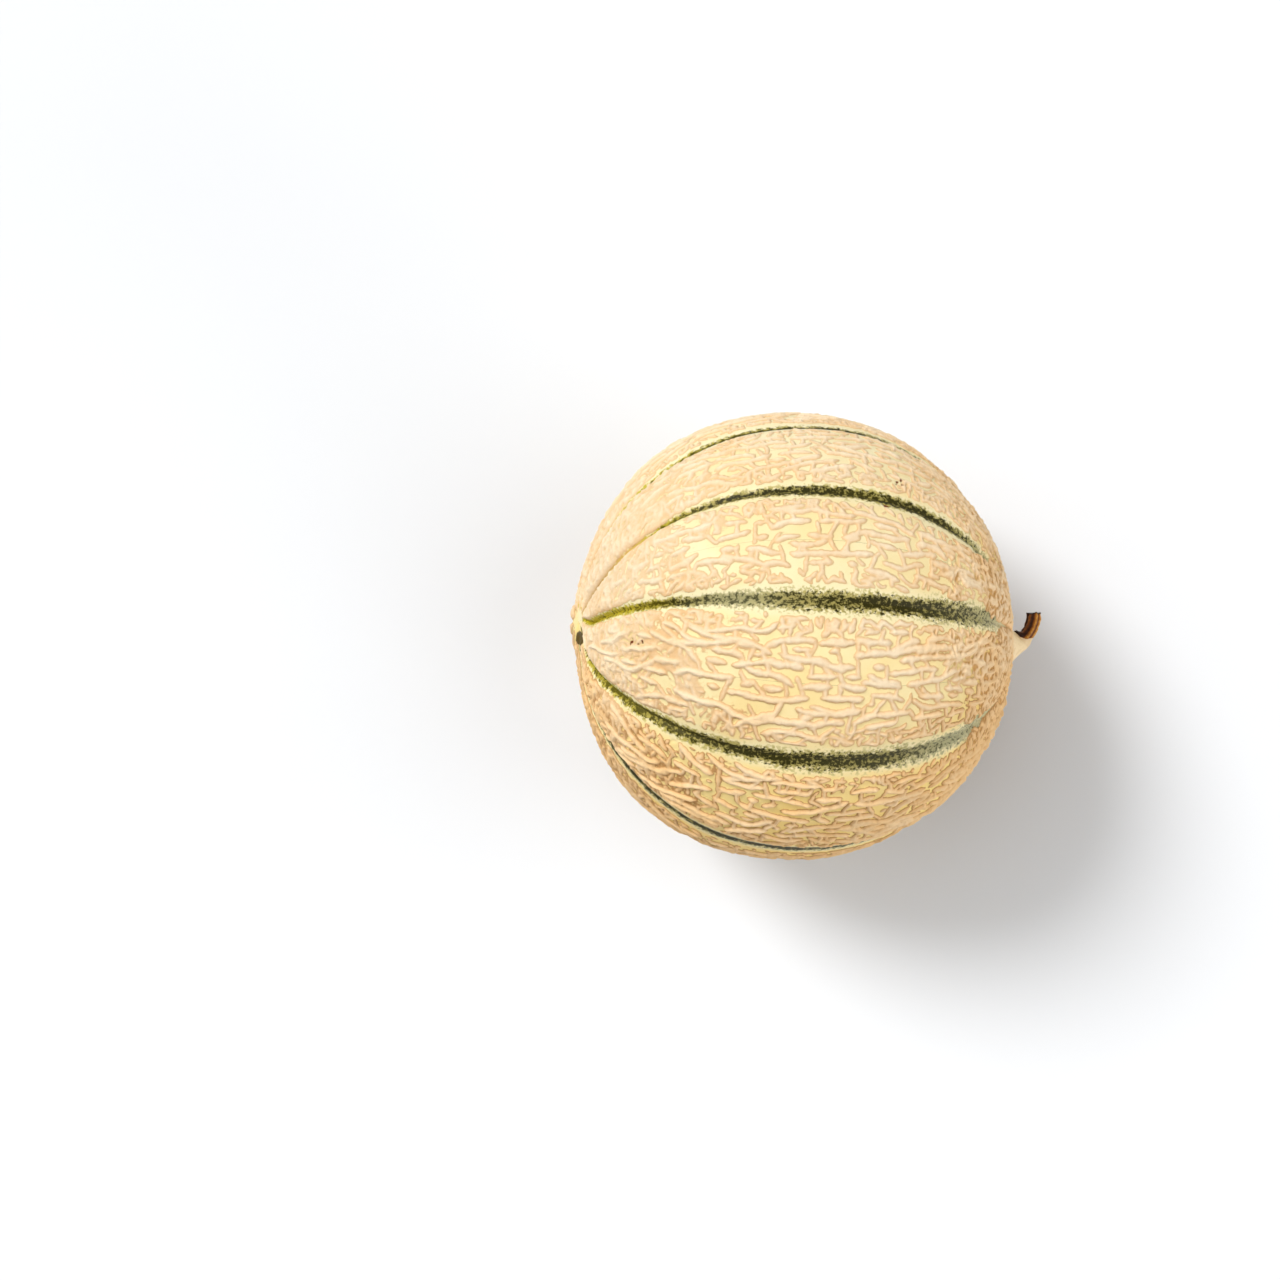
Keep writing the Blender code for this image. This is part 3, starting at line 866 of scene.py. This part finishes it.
def makeRib(rib, material):
    patch = Patch(rib)
    growNetting(patch)
    rows = len(rowAt)
    columns = min(int(2.0 * patch.half.max() / rind["columnSize"]) + 1, rind["mostColumns"])
    mesh = bmesh.new()
    bmesh.ops.create_grid(mesh, x_segments=rows - 1, y_segments=columns - 1, size=1.0)
    data = bpy.data.meshes.new("rib_" + str(rib + 1).zfill(2))
    mesh.to_mesh(data)
    mesh.free()
    flat = np.empty(len(data.vertices) * 3)
    data.vertices.foreach_get("co", flat)
    flat = flat.reshape(-1, 3)
    row = np.rint((flat[:, 0] + 1.0) / 2.0 * (rows - 1)).astype(int)
    columnShare = np.rint((flat[:, 1] + 1.0) / 2.0 * (columns - 1)) / (columns - 1)
    share = columnShare - rind["crowdColumns"] * np.sin(2.0 * math.pi * columnShare) / (2.0 * math.pi)
    distance = rowAt[row]
    start, width = ribSpan(rib, distance)
    angle = start + width * share
    radius = onOutline("radius", distance)
    across = (share - 0.5) * width * radius
    bare, edge = ribHeight(rib, distance, share)
    level = sample(patch, patch.level, distance, across)
    onSkin = 1.0 - smooth((distance - outline["neckStart"] + 2.0) / 8.0)
    body = bodyPoint(distance, angle)
    height = bare + level - melon["skinDrop"] * onSkin + lumps(body) * onSkin
    world = toWorld(body + bodyNormal(distance, angle) * height[:, None])
    for end in (0, rows - 1):
        world[row == end] = world[row == end].mean(axis=0)
    world[:, 2] = np.maximum(world[:, 2], melon["floorGap"] / 1000.0)
    data.vertices.foreach_set("co", world.ravel())

    place = distance / skinLength
    secondHalf = share > 0.5
    index = np.where(secondHalf, rib + 1, rib)
    setAttribute(data, "ridge", level)
    setAttribute(data, "closed", sample(patch, patch.closed, distance, across))
    setAttribute(data, "scab", sample(patch, patch.scab, distance, across))
    setAttribute(data, "across", np.where(secondHalf, -edge, edge) / 1000.0)
    setAttribute(data, "along", distance / 1000.0)
    setAttribute(data, "furrow", index % furrowCount)
    for name, column in (("band", 1), ("dark", 2), ("tint", 3)):
        values = np.where(secondHalf, bandAt(rib + 1, place, column), bandAt(rib, place, column))
        if name == "band":
            values = (values * smooth((radius - 2.5) / 4.0) + 0.05) / 1000.0
        setAttribute(data, name, values)
    setAttribute(data, "neck", smooth((distance - outline["neckStart"] + 1.5) / 6.0))
    # a rib's tan, blended towards its neighbours at the furrows, is partly painted shade; towards the
    # stem the cork's own tan is added
    tanAndShadeHere = rind["tanAndShadeRibs"][rib]
    tanAndShadeNext = np.where(secondHalf, rind["tanAndShadeRibs"][(rib + 1) % furrowCount], rind["tanAndShadeRibs"][rib - 1])
    tanAndShadeBeside = 0.5 * (tanAndShadeHere + tanAndShadeNext)
    tanAndShade = tanAndShadeHere + (tanAndShadeBeside - tanAndShadeHere) * (2.0 * np.abs(share - 0.5)) ** 2
    setAttribute(data, "tanAndShade", tanAndShade + 0.45 * smooth((place - 0.62) / 0.25))
    innerSide = smooth((np.sin(angle) + 0.1) / 0.6)
    setAttribute(data, "rim", innerSide * smooth((distance - outline["neckStop"] + 0.9) / 0.9))
    scar = smooth(2.0 - scarAway(rib, distance, share) / 1.4) * (place < furrow["scarPlace"])
    setAttribute(data, "scar", scar)
    setAttribute(data, "mapRow", row / (rows - 1))
    setAttribute(data, "mapColumn", columnShare)
    closeRib(data)
    addObject(data.name, data, material, "melon_fruit")
    print(data.name, "made:", len(data.polygons), "faces,", patch.number, "ridges")


def closeRib(data):
    # Joins the points at both ends, then walls the rib in down to the melon's axis, so that it is
    # a closed wedge with a map for its outside and a narrow strip of the map for its walls.
    setAttribute(data, "inner", np.zeros(len(data.vertices)))
    data.attributes.new(name="wall", type="INT", domain="FACE")
    mesh = bmesh.new()
    mesh.from_mesh(data)
    rowLayer = mesh.verts.layers.float["mapRow"]
    columnLayer = mesh.verts.layers.float["mapColumn"]
    innerLayer = mesh.verts.layers.float["inner"]
    wallLayer = mesh.faces.layers.int["wall"]
    ends = [vertex for vertex in mesh.verts if not 1e-6 < vertex[rowLayer] < 1.0 - 1e-6]
    bmesh.ops.remove_doubles(mesh, verts=ends, dist=1e-7)
    rim = [edge for edge in mesh.edges if edge.is_boundary]
    for edge in rim:
        edge.smooth = False
    made = bmesh.ops.extrude_edge_only(mesh, edges=rim)
    inner = {item for item in made["geom"] if isinstance(item, bmesh.types.BMVert)}
    deepest = melon["blossomHalf"] - rind["wallShort"]
    for vertex in inner:
        neighbours = [edge.other_vert(vertex) for edge in vertex.link_edges]
        outer = next(neighbour for neighbour in neighbours if neighbour not in inner)
        distance = rowAt[int(round(outer[rowLayer] * (len(rowAt) - 1)))]
        along = float(np.clip(onOutline("along", distance), -deepest, deepest))
        vertex.co = toWorld(np.array([along, 0.0, 0.0]))
        vertex[innerLayer] = 1.0
        vertex[rowLayer] = outer[rowLayer]
    for item in made["geom"]:
        if isinstance(item, bmesh.types.BMFace):
            outer = [vertex[columnLayer] for vertex in item.verts if vertex not in inner]
            item[wallLayer] = 1 if sum(outer) / len(outer) < 0.5 else 2
    bmesh.ops.remove_doubles(mesh, verts=list(inner), dist=1e-7)
    bmesh.ops.recalc_face_normals(mesh, faces=mesh.faces)
    mesh.to_mesh(data)
    mesh.free()
    data.shade_smooth()
    loopVertex = np.empty(len(data.loops), dtype=np.int32)
    data.loops.foreach_get("vertex_index", loopVertex)
    corners = np.empty(len(data.polygons), dtype=np.int32)
    data.polygons.foreach_get("loop_total", corners)
    wall = np.repeat(getAttribute(data, "wall"), corners)
    mapPlace = np.empty((len(data.loops), 2), dtype=np.float32)
    start, span = rind["mapRows"]
    mapPlace[:, 0] = start + span * getAttribute(data, "mapRow")[loopVertex]
    start, span = rind["mapOutside"]
    outside = start + span * getAttribute(data, "mapColumn")[loopVertex]
    start, span = rind["mapWall"]
    inside = rind["mapWallStep"] * wall + start + span * getAttribute(data, "inner")[loopVertex]
    mapPlace[:, 1] = np.where(wall > 0, inside, outside)
    data.uv_layers.new(name="OFBake").data.foreach_set("uv", mapPlace.ravel())
    for name in ("mapRow", "mapColumn", "inner", "wall"):
        data.attributes.remove(data.attributes[name])


def rindMaterial():
    material, tree, shader = newMaterial("netted_skin")
    place = objectPlace(tree)
    ridge = readAttribute(tree, "ridge")
    closed = readAttribute(tree, "closed")
    across = readAttribute(tree, "across")
    band = readAttribute(tree, "band")
    dark = readAttribute(tree, "dark")
    tint = readAttribute(tree, "tint")
    ownFurrow = calc(tree, "MULTIPLY", readAttribute(tree, "furrow"), 0.07)
    flow = combine(tree, readAttribute(tree, "along"), across, ownFurrow)
    yellow = calc(tree, "MULTIPLY", tint, -1.0, clamp=True)
    grey = calc(tree, "MULTIPLY", tint, 1.0, clamp=True)

    # bare skin between the ridges
    warm = remap(tree, grain(tree, place, 26.0, 3.0), 0.38, 0.66)
    colour = blend(tree, warm, rind["ground"], rind["groundWarm"])
    # golden bare skin on the tanned ribs, partly painted shade
    goldenShade = blend(tree, 1.0, colour, rind["goldenShade"], "MULTIPLY")
    colour = blend(tree, readAttribute(tree, "tanAndShade"), colour, goldenShade)
    speck = remap(tree, grain(tree, place, 0.8, 3.0, 0.6), 0.5, 0.8)
    colour = blend(tree, calc(tree, "MULTIPLY", speck, 0.22), colour, rind["speck"])

    # the band: a pale halo, a thin veil of green and dark flecks that thin out towards its border
    ragged = calc(tree, "SUBTRACT", grain(tree, flow, 2.6, 3.0, 0.6, (0.45, 1.0, 1.0)), 0.5)
    away = calc(tree, "ABSOLUTE", across)
    reach = calc(tree, "DIVIDE", away, band)
    reach = calc(tree, "ADD", reach, calc(tree, "MULTIPLY", ragged, 1.1))
    wide = remap(tree, band, 0.0008, 0.0018)
    haloEnd = calc(tree, "ADD", band, rind["haloWidth"] / 1000.0)
    haloAway = calc(tree, "ADD", away, calc(tree, "MULTIPLY", ragged, 0.004))
    haloStart = calc(tree, "MULTIPLY", band, 0.7)
    halo = calc(tree, "MULTIPLY", remap(tree, haloAway, haloStart, haloEnd, 1.0, 0.0), wide)
    colour = blend(tree, calc(tree, "MULTIPLY", halo, 0.62), colour, rind["halo"])
    yellowish = blend(tree, remap(tree, dark, 0.05, 0.35), rind["veilGolden"], rind["veilYellow"])
    veilColour = blend(tree, yellow, rind["veil"], yellowish)
    veilColour = blend(tree, grey, veilColour, rind["veilGrey"])
    veilGrain = remap(tree, grain(tree, flow, 1.1, 2.0, 0.5), 0.35, 0.65, -0.3, 0.3)
    veilReach = calc(tree, "ADD", reach, veilGrain)
    weakest = calc(tree, "MULTIPLY_ADD", grey, -0.40, 0.78)
    veilStrength = remap(tree, dark, 0.0, 0.4, weakest, 0.96)
    veil = calc(tree, "MULTIPLY", remap(tree, veilReach, 0.55, 1.2, 1.0, 0.0), veilStrength)
    veil = calc(tree, "MULTIPLY", veil, remap(tree, band, 0.0003, 0.0007))
    colour = blend(tree, veil, colour, veilColour)
    amount = calc(tree, "MULTIPLY", dark, remap(tree, reach, 0.2, 1.2, 1.0, 0.0))
    notGrey = remap(tree, grey, 0.2, 0.8, 1.0, 0.4)
    deep = calc(tree, "MULTIPLY", remap(tree, amount, 0.3, 0.95, 0.0, 0.55), notGrey)
    colour = blend(tree, deep, colour, blend(tree, yellow, rind["veilDeep"], rind["veilDeepYellow"]))
    fleckNoise = grain(tree, flow, 1.25, 4.0, 0.78, (0.8, 1.0, 1.0))
    level = calc(tree, "ADD", fleckNoise, calc(tree, "MULTIPLY", amount, 0.19))
    flecks = remap(tree, level, 0.56, 0.65)
    flecks = calc(tree, "MULTIPLY", flecks, remap(tree, amount, 0.03, 0.2))
    darkColour = blend(tree, yellow, rind["dark"], rind["darkYellow"])
    darkColour = blend(tree, grey, darkColour, rind["darkGrey"])
    colour = blend(tree, flecks, colour, darkColour)

    # cork: brown where a ridge leaves the skin, partly the cork's own colour and partly painted shade,
    # and paler towards its crest, partly as painted highlight
    wobble = calc(tree, "SUBTRACT", grain(tree, place, 0.7, 3.0, 0.6), 0.5)
    corkLevel = calc(tree, "ADD", ridge, calc(tree, "MULTIPLY", wobble, 0.16))
    shown = calc(tree, "ADD", corkLevel, calc(tree, "MULTIPLY", closed, 0.20))
    cork = ramp(tree, remap(tree, shown, 0.0, 0.8, 0.0, 1.0, False), [
        (0.04, rind["corkFootAndShade"]),
        (0.20, rind["corkSide"]),
        (0.50, rind["corkTop"]),
        (0.95, rind["corkCrestAndHighlight"]),
    ])
    # more tan cork on the ribs that face down, partly painted shade, with slow patches
    patchy = remap(tree, grain(tree, place, 15.0, 3.0), 0.35, 0.68, -0.15, 0.25)
    tanAndShade = calc(tree, "ADD", readAttribute(tree, "tanAndShade"), patchy, clamp=True)
    cork = blend(tree, tanAndShade, cork, blend(tree, 1.0, cork, rind["tanAndShade"], "MULTIPLY"))
    onTanAndShade = remap(tree, tanAndShade, 0.35, 0.9)
    # darker brown low between the ridges of the tanned ribs, partly painted shade
    creaseAndShade = calc(tree, "MULTIPLY", remap(tree, corkLevel, 0.06, 0.34, 0.72, 0.0), onTanAndShade)
    cork = blend(tree, creaseAndShade, cork, rind["creaseAndShade"])
    fine = grain(tree, place, 0.42, 3.0, 0.65)
    cork = blend(tree, remap(tree, fine, 0.54, 0.78, 0.0, 0.40), cork, rind["grit"])
    onCork = remap(tree, corkLevel, 0.03, 0.09)
    colour = blend(tree, onCork, colour, cork)
    slitTop = remap(tree, closed, 0.5, 0.9, 0.10, 0.25)
    slitZone = remap(tree, closed, 0.35, 0.7)
    slit = calc(tree, "MULTIPLY", remap(tree, corkLevel, -0.02, slitTop, 1.0, 0.0), slitZone)
    colour = blend(tree, calc(tree, "MULTIPLY", slit, 0.85), colour, rind["slit"])
    scab = remap(tree, readAttribute(tree, "scab"), 0.25, 0.6)
    colour = blend(tree, scab, colour, rind["scab"])

    # the smooth neck with its faint streaks, its rim at the stem, and the blossom scar
    neck = readAttribute(tree, "neck")
    streaks = remap(tree, grain(tree, place, 2.2, 3.0, 0.6, (0.25, 1.0, 1.0)), 0.4, 0.7)
    neckColour = blend(tree, streaks, rind["neck"], rind["neckStreak"])
    colour = blend(tree, neck, colour, neckColour)
    colour = blend(tree, readAttribute(tree, "rim"), colour, rind["rim"])
    scar = calc(tree, "ADD", readAttribute(tree, "scar"), calc(tree, "MULTIPLY", wobble, 0.8))
    colour = blend(tree, remap(tree, scar, 0.5, 0.8), colour, rind["scar"])
    link(tree, colour, shader.inputs["Base Color"])

    skinRoughness = remap(tree, fine, 0.3, 0.7, 0.40, 0.55)
    corkRoughness = remap(tree, fine, 0.3, 0.7, 0.68, 0.86)
    mixed = tree.nodes.new("ShaderNodeMix")
    link(tree, onCork, mixed.inputs["Factor"])
    link(tree, skinRoughness, mixed.inputs[2])
    link(tree, corkRoughness, mixed.inputs[3])
    link(tree, mixed.outputs[0], shader.inputs["Roughness"])
    relief = calc(tree, "MULTIPLY", fine, remap(tree, onCork, 0.0, 1.0, 0.25, 1.0))
    link(tree, bumpFrom(tree, relief, 0.34), shader.inputs["Normal"])
    shader.inputs["Specular IOR Level"].default_value = 0.12
    return material


stem = {
    "length": 10.8,
    "endAngle": 92.0,
    "waist": 2.0,
    "tip": 2.15,
    "flareShare": 0.32,
    "gap": -0.35,            # the stub starts a little inside the neck
    "ridges": 6,
    "ridgeHeight": 0.26,
    "wrinkle": 0.16,
    "knob": 1.0,             # dried lump on the inner side of the foot
    "cream": 0.26,           # how far the neck's cream skin climbs the outer side, as a share
    "segments": 96,
    "rings": 72,
    "seed": 5,
    "bark": [
        (0.22, (0.010, 0.004, 0.002)),
        (0.48, (0.060, 0.016, 0.004)),
        (0.70, (0.21, 0.066, 0.010)),
        (0.90, (0.44, 0.175, 0.022)),
        (1.00, (0.60, 0.30, 0.06)),
    ],
    "burnt": (0.022, 0.007, 0.003),
    "creamEdge": (0.40, 0.13, 0.03),
    "creamSkin": (0.80, 0.60, 0.35),
}


def stemMaterial():
    material, tree, shader = newMaterial("dried_bark")
    place = objectPlace(tree)
    ridge = readAttribute(tree, "ridge")
    outer = readAttribute(tree, "outer")
    streak = grain(tree, place, 0.9, 4.0, 0.7)
    level = calc(tree, "MULTIPLY", ridge, 0.42)
    level = calc(tree, "ADD", level, calc(tree, "MULTIPLY", outer, 0.46))
    level = calc(tree, "ADD", level, calc(tree, "MULTIPLY", streak, 0.5))
    colour = ramp(tree, level, stem["bark"])
    colour = blend(tree, readAttribute(tree, "burnt"), colour, stem["burnt"])
    cream = calc(tree, "ADD", readAttribute(tree, "cream"), calc(tree, "MULTIPLY", streak, 0.5))
    colour = blend(tree, remap(tree, cream, 0.55, 0.68), colour, stem["creamEdge"])
    colour = blend(tree, remap(tree, cream, 0.72, 0.85), colour, stem["creamSkin"])
    link(tree, colour, shader.inputs["Base Color"])
    fine = grain(tree, place, 0.4, 4.0, 0.7)
    link(tree, remap(tree, fine, 0.3, 0.7, 0.40, 0.75), shader.inputs["Roughness"])
    link(tree, bumpFrom(tree, fine, 0.2), shader.inputs["Normal"])
    shader.inputs["Specular IOR Level"].default_value = 0.2
    return material


def makeStem():
    lean = math.radians(melon["neckLean"])
    facing = np.array([math.cos(lean), math.sin(lean), 0.0])
    centre = bodyPoint(fullLength, 0.0) + facing * stem["gap"]
    segments = stem["segments"]
    rings = stem["rings"]
    angles = np.arange(segments) * 2.0 * math.pi / segments
    draw = np.random.default_rng(stem["seed"])
    wrinkle = cloud(draw, (rings + 1, segments // 2 + 1), 5)
    wrinkle = np.concatenate([wrinkle, wrinkle[:, -2:0:-1]], axis=1)
    mesh = bmesh.new()
    layers = {name: mesh.verts.layers.float.new(name) for name in ("ridge", "outer", "burnt", "cream")}
    circle = bmesh.ops.create_circle(mesh, cap_ends=True, segments=segments, radius=1.0)
    ringVerts = circle["verts"]
    ringEdges = list(mesh.edges)
    stepLength = stem["length"] / rings
    for ring in range(rings + 1):
        share = ring / rings
        if ring > 0:
            made = bmesh.ops.extrude_edge_only(mesh, edges=ringEdges)
            ringVerts = [item for item in made["geom"] if isinstance(item, bmesh.types.BMVert)]
            ringSet = set(ringVerts)
            ringEdges = [item for item in made["geom"] if isinstance(item, bmesh.types.BMEdge)
                         and all(vertex in ringSet for vertex in item.verts)]
        heading = lean + (math.radians(stem["endAngle"]) - lean) * share
        ahead = np.array([math.cos(heading), math.sin(heading), 0.0])
        side = np.array([-math.sin(heading), math.cos(heading), 0.0])
        flare = (melon["neckEnd"] - stem["waist"]) * (1.0 - smooth(share / stem["flareShare"]))
        base = stem["waist"] + flare + (stem["tip"] - stem["waist"]) * share
        for order, (angle, vertex) in enumerate(zip(angles, ringVerts)):
            inward = math.sin(angle)
            lobes = math.cos(stem["ridges"] * angle + 0.9 * share)
            rough = wrinkle[ring, order]
            knob = stem["knob"] * bell(share - 0.10, 0.09) * smooth((inward - 0.1) / 0.7)
            knob = knob * (1.0 + 0.5 * rough)
            fray = 0.30 * rough * smooth((share - 0.88) / 0.1)
            spread = base + stem["ridgeHeight"] * lobes * smooth(share / 0.2)
            spread = spread + stem["wrinkle"] * rough + knob + fray
            point = centre + side * spread * inward + np.array([0.0, 0.0, spread * math.cos(angle)])
            point = point + ahead * (0.5 * rough * smooth((share - 0.9) / 0.1))
            vertex.co = toWorld(point)
            vertex[layers["ridge"]] = 0.5 + 0.5 * lobes
            vertex[layers["outer"]] = 0.5 - 0.5 * inward
            onKnob = float(knob) / stem["knob"] * 1.3
            vertex[layers["burnt"]] = max(onKnob, float(smooth((share - 0.95) / 0.05)))
            creamEnd = stem["cream"] * (0.5 - 0.8 * inward)
            vertex[layers["cream"]] = float(smooth((creamEnd - share) / 0.12 + 0.5))
        centre = centre + ahead * stepLength
    bmesh.ops.contextual_create(mesh, geom=ringEdges)
    bmesh.ops.recalc_face_normals(mesh, faces=mesh.faces)
    data = bpy.data.meshes.new("stem_stub")
    mesh.to_mesh(data)
    mesh.free()
    data.shade_smooth()
    data.set_sharp_from_angle(angle=math.radians(50))
    addObject("stem_stub", data, stemMaterial(), "stem")
    print("stem made:", len(data.polygons), "faces")


studio = {
    "cameraHeight": 704.0,           # above the fruit's middle, in millimetres
    "cameraOffset": (-48.2, -1.2),   # of the camera from the fruit's middle
    "viewWidth": 411.0,              # what the view takes in at the fruit's middle
    "sensor": 36.0,
    "fill": 0.05,
    "floor": (0.733, 0.745, 0.760),
    # strength, how wide the light looks in degrees, and the direction that it comes from
    "lamps": {
        "window": (2.45, 20.0, (-0.53, 0.43, 0.73)),
        "softbox": (1.6, 70.0, (-0.51, 0.26, 0.82)),
        "side": (1.06, 50.0, (0.66, 0.05, 0.75)),
        "bounce": (2.1, 42.0, (0.77, -0.63, 0.09)),
    },
    "floorSize": 3.0,
}


def makeStudio():
    scene = bpy.context.scene
    scene.view_settings.view_transform = "Standard"
    mesh = bmesh.new()
    bmesh.ops.create_grid(mesh, x_segments=1, y_segments=1, size=studio["floorSize"])
    data = bpy.data.meshes.new("floor")
    mesh.to_mesh(data)
    mesh.free()
    floor = bpy.data.objects.new("floor", data)
    scene.collection.objects.link(floor)
    material, tree, shader = newMaterial("white_floor")
    shader.inputs["Base Color"].default_value = (*studio["floor"], 1.0)
    shader.inputs["Roughness"].default_value = 0.9
    data.materials.append(material)

    for name, (strength, wide, source) in studio["lamps"].items():
        lamp = bpy.data.lights.new(name, "SUN")
        lamp.energy = strength
        lamp.angle = math.radians(wide)
        holder = bpy.data.objects.new(name, lamp)
        holder.rotation_euler = Vector(source).to_track_quat("Z", "Y").to_euler()
        scene.collection.objects.link(holder)

    world = bpy.data.worlds.new("studio")
    world.use_nodes = True
    background = world.node_tree.nodes["Background"]
    background.inputs["Color"].default_value = (1.0, 1.0, 1.0, 1.0)
    background.inputs["Strength"].default_value = studio["fill"]
    scene.world = world

    camera = bpy.data.objects.new("camera", bpy.data.cameras.new("camera"))
    camera.data.sensor_width = studio["sensor"]
    camera.data.lens = studio["sensor"] * studio["cameraHeight"] / studio["viewWidth"]
    offset = Vector((*studio["cameraOffset"], studio["cameraHeight"]))
    camera.location = (Vector(melonMiddle) + offset) / 1000.0
    scene.collection.objects.link(camera)
    scene.camera = camera
    print("studio ready")


makeStudio()
skinMaterial = rindMaterial()
for ribIndex in range(furrowCount):
    makeRib(ribIndex, skinMaterial)
makeStem()
